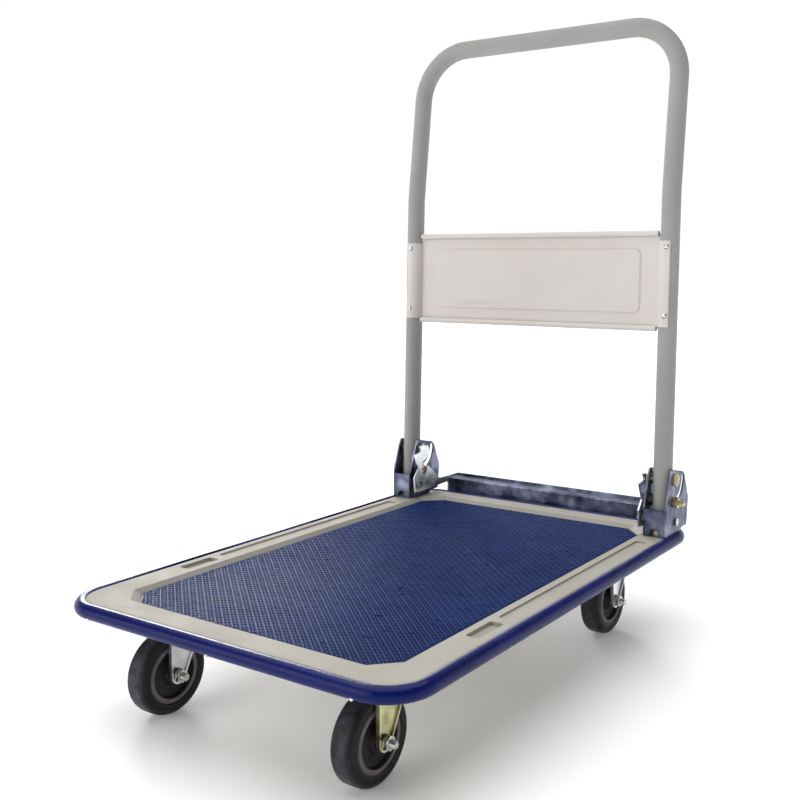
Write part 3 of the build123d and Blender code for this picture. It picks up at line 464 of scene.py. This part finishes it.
def make_materials():
    grime = srgb(112, 101, 87)
    bright = (srgb(222, 222, 220), srgb(168, 170, 170))
    return {
        "deck_paint": powder_coat("deck_paint", srgb(172, 169, 161), srgb(162, 158, 148), grime, 0.32),
        "frame_paint": powder_coat("frame_paint", srgb(166, 161, 151), srgb(152, 147, 138), grime, 0.3),
        "handle_paint": powder_coat("handle_paint", srgb(166, 165, 164), srgb(157, 155, 153), grime, 0.15),
        "panel_paint": powder_coat("panel_paint", srgb(222, 217, 213), srgb(214, 208, 203), grime, 0.12),
        "mat_vinyl": vinyl_mat(),
        "bumper_vinyl": bumper_vinyl(),
        "zinc_plate": zinc("zinc_plate", (246, 249, 252), (224, 228, 234), (176, 182, 194), 0.25),
        # Painted reflection and painted shade: the brackets' plain zinc plate is given dark blue-grey colours
        # with strong pale-to-dark blotches, for the blue bumper reflected in it and the shade on the side
        # plates.
        "bracket_zinc": zinc(
            "bracket_zinc", (148, 154, 176), (82, 86, 110), (44, 45, 72), 0.3, (92, 88, 62), 0.35),
        "dichromate_zinc": zinc(
            "dichromate_zinc", (236, 234, 192), (212, 208, 164), (156, 150, 106), 0.7, (120, 104, 64)),
        "bright_zinc": bright_metal("bright_zinc", *bright, 0.18, 0.34),
        "yellow_zinc": yellow_zinc(),
        "washer_steel": bright_metal("washer_steel", srgb(92, 90, 96), srgb(52, 50, 56), 0.35, 0.55),
        "bearing_steel": bright_metal("bearing_steel", srgb(236, 238, 240), srgb(214, 216, 220), 0.08, 0.16),
        "spring_steel": bright_metal("spring_steel", srgb(150, 150, 152), srgb(96, 96, 100), 0.25, 0.42),
        "tyre_rubber": tyre_rubber(),
        "hub_plastic": hub_plastic(),
    }


def paint_nodes(materials):
    """Give each CAD node the finish that its record row names."""
    for row in frame["record"]["subparts"]:
        mesh = nodes[row["node"]].data
        mesh.materials.clear()
        mesh.materials.append(materials[row["material_slot"]])


# ---------------------------------------------------------------- mat

def mat_outline(inset):
    """Corners of the mat, a rectangle with its corners cut off."""
    low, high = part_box("deck_mat")
    x_low, x_high = low.x + inset, high.x - inset
    y_low, y_high = low.y + inset, high.y - inset
    cut = MAT_CHAMFER - MAT_CHAMFER_SHRINK * inset
    return [
        (x_high - cut, y_low), (x_high, y_low + cut), (x_high, y_high - cut), (x_high - cut, y_high),
        (x_low + cut, y_high), (x_low, y_high - cut), (x_low, y_low + cut), (x_low + cut, y_low),
    ]


def clip_line(outline, point, direction):
    """How far the line runs inside a convex outline, or None."""
    near, far = -1e9, 1e9
    for i, corner in enumerate(outline):
        after = outline[(i + 1) % len(outline)]
        side = Vector((after[0] - corner[0], after[1] - corner[1]))
        inward = Vector((-side.y, side.x)).normalized()
        gap = (Vector(corner) - point).dot(inward)
        speed = direction.dot(inward)
        if abs(speed) < 1e-9:
            if gap > 0:
                return None
            continue
        reach = gap / speed
        if speed > 0:
            near = max(near, reach)
        else:
            far = min(far, reach)
    return (near, far) if far - near > 2 * MM else None


def add_rib(shape, outline, angle, offset, width, height, top):
    """One rounded rib across the mat, square to the direction angle."""
    across = Vector((math.cos(angle), math.sin(angle)))
    along = Vector((-across.y, across.x))
    low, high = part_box("deck_mat")
    middle = 0.5 * (low + high)
    point = Vector((middle.x, middle.y)) + offset * across
    reach = clip_line(outline, point, along)
    if reach is None:
        return
    rings = []
    for t in reach:
        ring = []
        for share, rise in RIB_SECTION:
            spot = point + t * along + share * width * across
            ring.append(Vector((spot.x, spot.y, top + rise * height)))
        rings.append(ring)
    shape.skin(rings, wear_and_highlight=[RIB_CREST_HIGHLIGHT, RIB_CREST_HIGHLIGHT])


def make_mat(materials):
    low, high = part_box("deck_mat")
    skin_top = high.z - 0.2 * MM
    shape = Shape()
    levels = [
        (0.0, low.z), (0.0, high.z - 0.7 * MM), (0.15 * MM, high.z - 0.35 * MM), (0.6 * MM, skin_top),
    ]
    shape.skin([[Vector((x, y, z)) for x, y in mat_outline(inset)] for inset, z in levels])
    outline = mat_outline(2.2 * MM)
    reach = int(0.5 * (high - low).length / RIB_STEP) + 1
    for degrees in RIB_ANGLES:
        for i in range(-reach, reach + 1):
            width, height = LOW_RIB if i % 2 else HIGH_RIB
            add_rib(shape, outline, math.radians(degrees), i * RIB_STEP, width, height, skin_top)
    stand_for(shape.build("ribbed_mat", materials["mat_vinyl"], 30.0), "deck_mat")


# ---------------------------------------------------------------- bumper

def bumper_route():
    """Places along the strip, from its joint behind the deck round to it again.

    Each is (x, y, outward angle, bend), where bend is 0 on the straight and 1 half way round a corner.
    """
    low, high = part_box("edge_bumper")
    half_x = high.x - BUMPER_RADIUS
    half_y = 0.5 * (high.y - low.y) - BUMPER_RADIUS
    middle = 0.5 * (high.y + low.y)
    run_x = half_x - BUMPER_CORNER
    run_y = half_y - BUMPER_CORNER
    corners = (
        (run_x, run_y, 90, 0),
        (run_x, -run_y, 0, -90),
        (-run_x, -run_y, -90, -180),
        (-run_x, run_y, 180, 90),
    )
    places = [(0.5 * BUMPER_JOINT, half_y, 90.0, 0.0)]
    for x, y, start, end in corners:
        for i in range(BUMPER_CORNER_STEPS + 1):
            share = i / BUMPER_CORNER_STEPS
            angle = start + (end - start) * share
            turn = math.radians(angle)
            places.append((
                x + BUMPER_CORNER * math.cos(turn), y + BUMPER_CORNER * math.sin(turn), angle,
                math.sin(math.pi * share) ** 2,
            ))
    places.append((-0.5 * BUMPER_JOINT, half_y, 90.0, 0.0))
    route = []
    for here, after in zip(places, places[1:]):
        gap = math.hypot(after[0] - here[0], after[1] - here[1])
        steps = max(1, round(gap / BUMPER_STEP))
        for i in range(steps):
            t = i / steps
            route.append(tuple(a + (b - a) * t for a, b in zip(here, after)))
    route.append(places[-1])
    return [(x, y + middle, math.radians(angle), bend) for x, y, angle, bend in route]


def make_bumper(materials):
    """Round strip gripped over the skirt, puckered a little where it turns the corners."""
    low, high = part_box("edge_bumper")
    centre_z = 0.5 * (low.z + high.z)
    section = [(out, up, 1.0) for out, up in arc((0, 0), BUMPER_RADIUS, 116, -92, 30)]
    section += [(-1.6 * MM, -7.2 * MM, 0.0), (-1.8 * MM, 0.0, 0.0), (-4.2 * MM, 5.6 * MM, 0.0)]
    rings = []
    for i, (x, y, angle, bend) in enumerate(bumper_route()):
        pucker = BUMPER_PUCKER * bend * math.sin(2.1 * i)
        ring = []
        for out, up, free in section:
            rim = 1.0 + free * pucker / BUMPER_RADIUS * max(0.0, math.sin(math.atan2(up, out) + 0.6))
            ring.append(Vector((
                x + out * rim * math.cos(angle), y + out * rim * math.sin(angle), centre_z + up * rim,
            )))
        rings.append(ring)
    shape = Shape()
    shape.skin(rings)
    stand_for(shape.build("bumper_strip", materials["bumper_vinyl"], 40.0), "edge_bumper")


# ---------------------------------------------------------------- wheels

def tyre_section():
    """(along the axle, radius, wear) round the tyre, for a wheel of 45 mm radius."""
    half = [(0.0, 45.0, 1.0), (3.0, 44.96, 1.0), (6.0, 44.8, 0.9)]
    for along, radius in arc((6.6, 37.9), 6.9, 86, 6, 12):
        half.append((along, radius, 0.55 if radius > 42.5 else 0.15))
    half += [
        (13.5, 38.0, 0.1), (13.46, 37.7, 0.1), (13.0, 37.45, 0.35), (12.95, 36.9, 0.35),
        (13.25, 36.65, 0.1), (13.3, 36.2, 0.05), (13.15, 34.0, 0.05), (12.95, 33.0, 0.05),
        (12.4, 32.4, 0.3), (12.1, 31.9, 0.2),
    ]
    return half + [(-along, radius, worn_and_lit) for along, radius, worn_and_lit in reversed(half[1:])]


def hub_section(bore):
    """(along the axle, radius) round the moulded centre."""
    half = [
        (13.9, bore), (13.9, 10.6), (9.0, 12.6), (7.0, 14.0), (6.2, 18.0), (6.2, 22.5), (7.2, 25.0),
        (12.3, 26.6), (12.9, 28.6), (12.7, 31.0), (11.8, 32.0),
    ]
    return rounded(half + [(-along, radius) for along, radius in reversed(half)], 0.7)


def turn_about_axle(section, centre):
    rings = []
    for along, radius in section:
        ring = []
        for i in range(AROUND):
            angle = 2 * math.pi * i / AROUND
            ring.append(centre + Vector((
                along * MM, radius * MM * math.cos(angle), radius * MM * math.sin(angle),
            )))
        rings.append(ring)
    return rings


def make_wheel(name, materials):
    low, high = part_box(f"{name}_tyre")
    centre = 0.5 * (low + high)
    section = tyre_section()
    tyre = Shape()
    rings = turn_about_axle([(along, radius) for along, radius, _ in section], centre)
    tyre.skin(rings, loop=True, wear_and_highlight=[worn_and_lit for _, _, worn_and_lit in section])
    stand_for(tyre.build(f"{name}_moulded_tyre", materials["tyre_rubber"], 50.0), f"{name}_tyre")
    hub = Shape()
    section = hub_section(HUB_BORE)
    # The rim points get the painted highlight.
    rim = [
        1.0 if radius > RIM_INNER_R and abs(along) > RIM_HALF_WIDTH else 0.0 for along, radius in section
    ]
    hub.skin(turn_about_axle(section, centre), loop=True, wear_and_highlight=rim)
    stand_for(hub.build(f"{name}_moulded_hub", materials["hub_plastic"], 40.0), f"{name}_hub")


# ---------------------------------------------------------------- fasteners

def radial_facts(points, axis):
    """A solid's middle, and each point as (place along the axis, distance from it, angle round it)."""
    low, high = box_of(points)
    middle = 0.5 * (low + high)
    first, second = (axis + 1) % 3, (axis + 2) % 3
    rows = []
    for p in points:
        out = (p[first] - middle[first], p[second] - middle[second])
        rows.append((p[axis], math.hypot(*out), math.atan2(out[1], out[0])))
    return middle, rows


def axial_ring(middle, axis, along, radii, start_angle):
    """A ring of points about the axis, one for each radius."""
    first, second = (axis + 1) % 3, (axis + 2) % 3
    ring = []
    for i, radius in enumerate(radii):
        angle = start_angle + 2 * math.pi * i / len(radii)
        spot = Vector(middle)
        spot[axis] = along
        spot[first] += radius * math.cos(angle)
        spot[second] += radius * math.sin(angle)
        ring.append(spot)
    return ring


def hex_radii(corner_radius):
    """Radii round a hexagon whose first corner is at the start."""
    flat = corner_radius * math.cos(math.pi / 6)
    radii = []
    for i in range(HEX_POINTS):
        turn = (2 * math.pi * i / HEX_POINTS) % (math.pi / 3) - math.pi / 6
        radii.append(flat / math.cos(turn))
    return radii


def hex_rings(middle, axis, base, top, corner_radius, corner_angle, chamfer_base):
    """A hexagon whose face, or both faces, are turned off at thirty degrees."""
    way = 1 if top > base else -1
    flat = corner_radius * math.cos(math.pi / 6)
    face = HEX_FACE * flat
    drop = (corner_radius - face) * math.tan(math.pi / 6)
    sides = hex_radii(corner_radius)
    rings = []
    if chamfer_base:
        rings.append(axial_ring(middle, axis, base, [face] * HEX_POINTS, corner_angle))
        low_edge = axial_ring(middle, axis, base, sides, corner_angle)
        for spot, radius in zip(low_edge, sides):
            spot[axis] += way * (radius - face) * math.tan(math.pi / 6)
        rings.append(low_edge)
    else:
        rings.append(axial_ring(middle, axis, base, sides, corner_angle))
    high_edge = axial_ring(middle, axis, top, sides, corner_angle)
    for spot, radius in zip(high_edge, sides):
        spot[axis] -= way * min(drop, (radius - face) * math.tan(math.pi / 6))
    rings.append(high_edge)
    rings.append(axial_ring(middle, axis, top, [face] * HEX_POINTS, corner_angle))
    return rings


def add_thread(shape, middle, axis, start, end, radius, pitch):
    """A cut screw thread from start to end, with a chamfered tip."""
    way = 1 if end > start else -1
    length = abs(end - start)
    depth = 0.6 * pitch
    steps = max(4, round(6 * length / pitch))
    rings = []
    for i in range(steps + 1):
        along = length * i / steps
        tip = max(0.0, along - (length - 0.9 * depth))
        radii = []
        for j in range(THREAD_POINTS):
            phase = (along / pitch + j / THREAD_POINTS) % 1.0
            cut = depth * abs(2 * phase - 1)
            fade = min(1.0, along / (0.8 * pitch))
            radii.append(max(0.3 * radius, radius - cut * fade - tip))
        rings.append(axial_ring(middle, axis, start + way * along, radii, 0.0))
    shape.skin(rings)


def add_bolt(shape, points, pitch, threaded):
    """A hexagon bolt in place of a plain one: chamfered head with a turned face, shank and thread."""
    low, high = box_of(points)
    size = high - low
    axis = max(range(3), key=lambda i: size[i])
    middle, rows = radial_facts(points, axis)
    widest = max(radius for _, radius, _ in rows)
    corners = [row for row in rows if row[1] > 0.98 * widest]
    head_low = min(row[0] for row in corners)
    head_high = max(row[0] for row in corners)
    at_high_end = abs(head_high - high[axis]) < abs(head_low - low[axis])
    top, base = (head_high, head_low) if at_high_end else (head_low, head_high)
    tip = low[axis] if at_high_end else high[axis]
    way = 1 if top > base else -1
    shank = max(row[1] for row in rows if way * (row[0] - base) < -0.3 * abs(tip - base))
    shape.skin(hex_rings(middle, axis, base, top, widest, corners[0][2], False))
    thread_start = tip + way * min(threaded, 0.85 * abs(tip - base))
    shape.skin([
        axial_ring(middle, axis, along, [shank] * HEX_POINTS, 0.0)
        for along in (base + way * 0.2 * MM, thread_start)
    ])
    add_thread(shape, middle, axis, thread_start + way * 0.1 * MM, tip, shank, pitch)


def add_nut(shape, points):
    """A hexagon nut with both faces turned off and a countersunk bore."""
    low, high = box_of(points)
    size = high - low
    axis = min(range(3), key=lambda i: size[i])
    middle, rows = radial_facts(points, axis)
    widest = max(radius for _, radius, _ in rows)
    bore = min(radius for _, radius, _ in rows)
    angle = [row[2] for row in rows if row[1] > 0.98 * widest][0]
    base, top = low[axis], high[axis]
    rings = hex_rings(middle, axis, base, top, widest, angle, True)
    sink = 0.1 * bore
    rings.append(axial_ring(middle, axis, top, [bore + sink] * HEX_POINTS, angle))
    rings.append(axial_ring(middle, axis, top - sink, [bore] * HEX_POINTS, angle))
    rings.append(axial_ring(middle, axis, base + sink, [bore] * HEX_POINTS, angle))
    rings.append(axial_ring(middle, axis, base, [bore + sink] * HEX_POINTS, angle))
    shape.skin(rings, loop=True)


def make_fasteners():
    """Every hexagon bolt and nut, with real heads, chamfers and threads."""
    bolts = (
        ("keeper_bolts", COARSE_PITCH, 16 * MM), ("handle_pivot_bolts", 1.5 * MM, 9 * MM),
        ("bracket_deck_bolts", COARSE_PITCH, 11 * MM), ("caster_bolts", 1.0 * MM, 9 * MM),
        ("fixed_axle_bolts", COARSE_PITCH, 14 * MM), ("rear_left_axle_bolt", COARSE_PITCH, 14 * MM),
        ("rear_right_axle_bolt", COARSE_PITCH, 14 * MM),
    )
    for node, pitch, threaded in bolts:
        shape = Shape()
        for points in solids_of(node):
            add_bolt(shape, points, pitch, threaded)
        material = nodes[node].data.materials[0]
        stand_for(shape.build(f"{node}_threaded", material, 32.0), node)
    nuts = (
        "keeper_nuts", "handle_pivot_nuts", "bracket_deck_nuts", "caster_nuts",
        "fixed_axle_nuts", "rear_left_axle_nut", "rear_right_axle_nut",
    )
    for node in nuts:
        shape = Shape()
        for points in solids_of(node):
            add_nut(shape, points)
        material = nodes[node].data.materials[0]
        stand_for(shape.build(f"{node}_chamfered", material, 32.0), node)


def make_panel_rivets(materials):
    """Blind rivets: domed heads with the mandrel broken off in a small hollow."""
    shape = Shape()
    lean = math.atan(PANEL_LEAN)
    outward = Vector((0.0, -math.cos(lean), math.sin(lean)))
    across = Vector((1.0, 0.0, 0.0))
    upward = outward.cross(across)
    head = [
        (0.0, 0.9), (0.15, 3.7), (0.5, 3.8), (1.0, 3.5), (1.5, 2.7), (1.75, 1.9), (1.75, 1.4),
        (1.2, 1.15), (1.1, 0.9), (1.25, 0.7), (1.3, 0.2),
    ]
    for points in solids_of("panel_rivets"):
        low, high = box_of(points)
        middle = 0.5 * (low + high)
        seat = Vector((middle.x, low.y + RIVET_HEAD_HEIGHT, high.z - RIVET_HEAD_R))
        rings = []
        for rise, radius in head:
            ring = []
            for i in range(RIVET_POINTS):
                angle = 2 * math.pi * i / RIVET_POINTS
                out = math.cos(angle) * across + math.sin(angle) * upward
                ring.append(seat + rise * MM * outward + radius * MM * out)
            rings.append(ring)
        shape.skin(rings)
    stand_for(shape.build("panel_blind_rivets", materials["bright_zinc"], 30.0), "panel_rivets")


def make_springs(materials):
    """Torsion springs wound round the pedal pivots, one leg on the bracket and one on the cheek."""
    wire = SPRING_WIRE_R
    pin_low, pin_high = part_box("pedal_pivot_pins")
    pin_y = 0.5 * (pin_low.y + pin_high.y)
    shape = Shape()
    for points in solids_of("pedal_springs"):
        low, high = box_of(points)
        middle_z = 0.5 * (low.z + high.z)
        coil = 0.5 * (high.z - low.z) - wire
        side = 1 if low.x > 0 else -1
        x_start = low.x + wire if side > 0 else high.x - wire
        x_end = high.x - wire if side > 0 else low.x + wire
        route = [Vector((x_start, high.y, middle_z + coil)), Vector((x_start, pin_y + coil, middle_z + coil))]
        for i in range(SPRING_STEPS + 1):
            share = i / SPRING_STEPS
            angle = math.radians(90) + 2 * math.pi * SPRING_TURNS * share
            route.append(Vector((
                x_start + (x_end - x_start) * share,
                pin_y + coil * math.cos(angle), middle_z + coil * math.sin(angle),
            )))
        route.append(Vector((x_end, low.y, middle_z - coil)))
        rings = []
        for i, spot in enumerate(route):
            ahead = route[min(i + 1, len(route) - 1)] - route[max(i - 1, 0)]
            side_way = Vector((1.0, 0.0, 0.0))
            side_way = (side_way - ahead * (side_way.dot(ahead) / ahead.length_squared)).normalized()
            up_way = ahead.normalized().cross(side_way)
            ring = []
            for k in range(SPRING_POINTS):
                angle = 2 * math.pi * k / SPRING_POINTS
                ring.append(spot + wire * (math.cos(angle) * side_way + math.sin(angle) * up_way))
            rings.append(ring)
        shape.skin(rings)
    stand_for(shape.build("pedal_return_springs", materials["spring_steel"], 60.0), "pedal_springs")


# ---------------------------------------------------------------- stage

def make_floor():
    """A white floor that glows a little, so that the shadow on it stays pale."""
    finish = Finish("floor_paper", specular=0.2)
    white = srgb(254, 254, 254)
    finish.colour(finish.ramp(finish.noise(2.0, 2.0), (0.3, srgb(251, 251, 251)), (0.7, white)))
    finish.roughness(finish.span(finish.noise(5.0, 2.0), 0.3, 0.7, 0.7, 0.8))
    finish.shader.inputs["Emission Color"].default_value = white
    finish.shader.inputs["Emission Strength"].default_value = FLOOR_GLOW
    mesh = bpy.data.meshes.new("floor")
    reach = FLOOR_REACH
    corners = [(-reach, -reach, 0.0), (reach, -reach, 0.0), (reach, reach, 0.0), (-reach, reach, 0.0)]
    mesh.from_pydata(corners, [], [(0, 1, 2, 3)])
    mesh.materials.append(finish.material)
    floor = bpy.data.objects.new("floor", mesh)
    bpy.context.scene.collection.objects.link(floor)


def add_falloff(tree, source, ends, values):
    """source from ends[0]..ends[1] as values[0]..values[1], smoothly."""
    node = tree.nodes.new("ShaderNodeMapRange")
    node.interpolation_type = "SMOOTHSTEP"
    for name, value in zip(("From Min", "From Max", "To Min", "To Max"), (*ends, *values)):
        node.inputs[name].default_value = value
    tree.links.new(source, node.inputs["Value"])
    return node.outputs["Result"]


def make_world():
    """A pale room: white walls and floor level, a greyer ceiling and a greyer near side."""
    world = bpy.data.worlds.new("studio")
    bpy.context.scene.world = world
    world.use_nodes = True
    tree = world.node_tree
    background = tree.nodes["Background"]
    background.inputs["Color"].default_value = (0.99, 0.993, 1.0, 1.0)
    way = tree.nodes.new("ShaderNodeTexCoord").outputs["Generated"]
    facing = tree.nodes.new("ShaderNodeVectorMath")
    facing.operation = "DOT_PRODUCT"
    facing.inputs[1].default_value = WINDOW_WAY
    tree.links.new(way, facing.inputs[0])
    parts = tree.nodes.new("ShaderNodeSeparateXYZ")
    tree.links.new(way, parts.inputs[0])
    side = add_falloff(tree, facing.outputs["Value"], (-0.8, 0.2), (NEAR_LIGHT, 1.0))
    rise = add_falloff(tree, parts.outputs["Z"], (0.27, 0.38), (1.03, CEILING_LIGHT))
    strength = tree.nodes.new("ShaderNodeMath")
    strength.operation = "MULTIPLY"
    tree.links.new(side, strength.inputs[0])
    tree.links.new(rise, strength.inputs[1])
    tree.links.new(strength.outputs[0], background.inputs["Strength"])


def add_sun(name, way, spread, power, colour):
    """Soft light from the direction way, with the same strength everywhere."""
    data = bpy.data.lights.new(name, "SUN")
    data.angle = math.radians(spread)
    data.energy = power
    data.color = colour
    light = bpy.data.objects.new(name, data)
    light.rotation_euler = (-Vector(way)).to_track_quat("-Z", "Y").to_euler()
    bpy.context.scene.collection.objects.link(light)


def make_lights():
    make_world()
    add_sun("window", (-0.78, 0.63, 0.36), 20, 1.1, (1.0, 1.0, 1.0))
    add_sun("overhead", (-0.15, 0.1, 1.0), 75, 2.3, (1.0, 0.995, 0.985))
    add_sun("fill", (-0.5, -1.0, 0.35), 50, 1.2, (1.0, 0.985, 0.97))


def make_camera():
    data = bpy.data.cameras.new("camera")
    data.lens = CAMERA_LENS
    data.sensor_width = 36.0
    data.shift_x, data.shift_y = CAMERA_SHIFT
    data.dof.use_dof = False
    data.clip_end = 60.0
    ahead = Vector((
        -math.sin(CAMERA_YAW) * math.cos(CAMERA_PITCH),
        math.cos(CAMERA_YAW) * math.cos(CAMERA_PITCH),
        -math.sin(CAMERA_PITCH),
    ))
    level = Vector((math.cos(CAMERA_YAW), math.sin(CAMERA_YAW), 0.0))
    upright = level.cross(ahead)
    right = math.cos(CAMERA_ROLL) * level + math.sin(CAMERA_ROLL) * upright
    up = math.cos(CAMERA_ROLL) * upright - math.sin(CAMERA_ROLL) * level
    turn = Matrix((right, up, -ahead)).transposed()
    camera = bpy.data.objects.new("camera", data)
    camera.matrix_world = Matrix.Translation(CAMERA_PLACE) @ turn.to_4x4()
    bpy.context.scene.collection.objects.link(camera)
    bpy.context.scene.camera = camera
    bpy.context.scene.view_settings.view_transform = "Standard"


def main():
    materials = make_materials()
    paint_nodes(materials)
    make_mat(materials)
    make_bumper(materials)
    for name in ("front_left", "front_right", "rear_left", "rear_right"):
        make_wheel(name, materials)
    make_fasteners()
    make_panel_rivets(materials)
    make_springs(materials)
    make_floor()
    make_lights()
    make_camera()


main()
